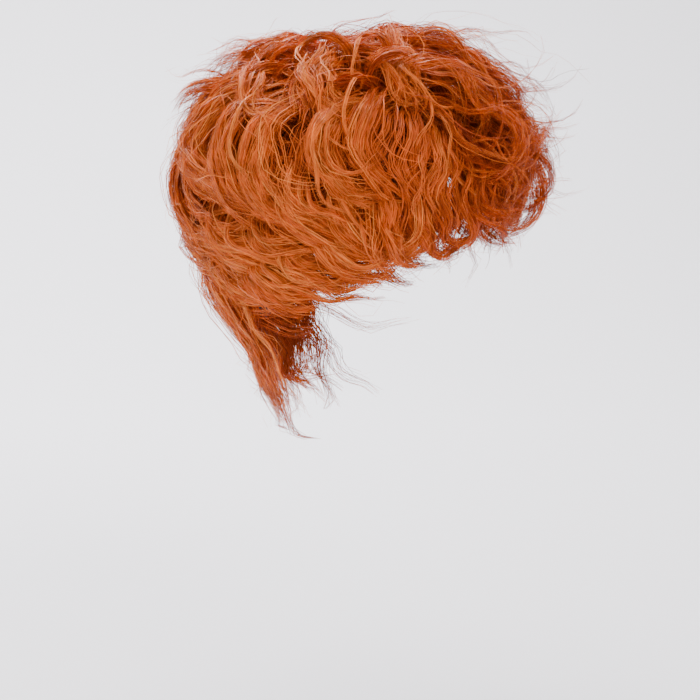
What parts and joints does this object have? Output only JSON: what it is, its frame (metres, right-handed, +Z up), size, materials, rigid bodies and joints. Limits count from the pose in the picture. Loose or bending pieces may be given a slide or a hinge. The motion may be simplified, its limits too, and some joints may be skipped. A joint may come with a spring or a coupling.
{
  "type": "costume wig",
  "caption": "Short curly costume wig: an open net cap with an elastic edge, a full fringe, layered curls all round and a longer tapered nape.",
  "frame": {"origin": "the inside of the cap's top, where it rests on the crown of the head", "axes": "+Z up through the crown of the head, -Y the way the face looks, +X the wearer's left"},
  "size_m": [0.2137, 0.301, 0.2951],
  "materials": {
    "cap_net": "black knitted net, matt",
    "elastic": "black woven elastic, matt",
    "fringe_hair": "copper-red synthetic fibre, satin",
    "hair": "orange-copper synthetic fibre, satin"
  },
  "bodies": {
    "root": {"cap_net": "cap_net", "edge_band": "elastic", "fringe_hair": "fringe_hair", "crown_hair": "hair", "right_side_hair": "hair", "left_side_hair": "hair", "back_hair": "hair", "nape_hair": "hair"}
  },
  "joints": []
}
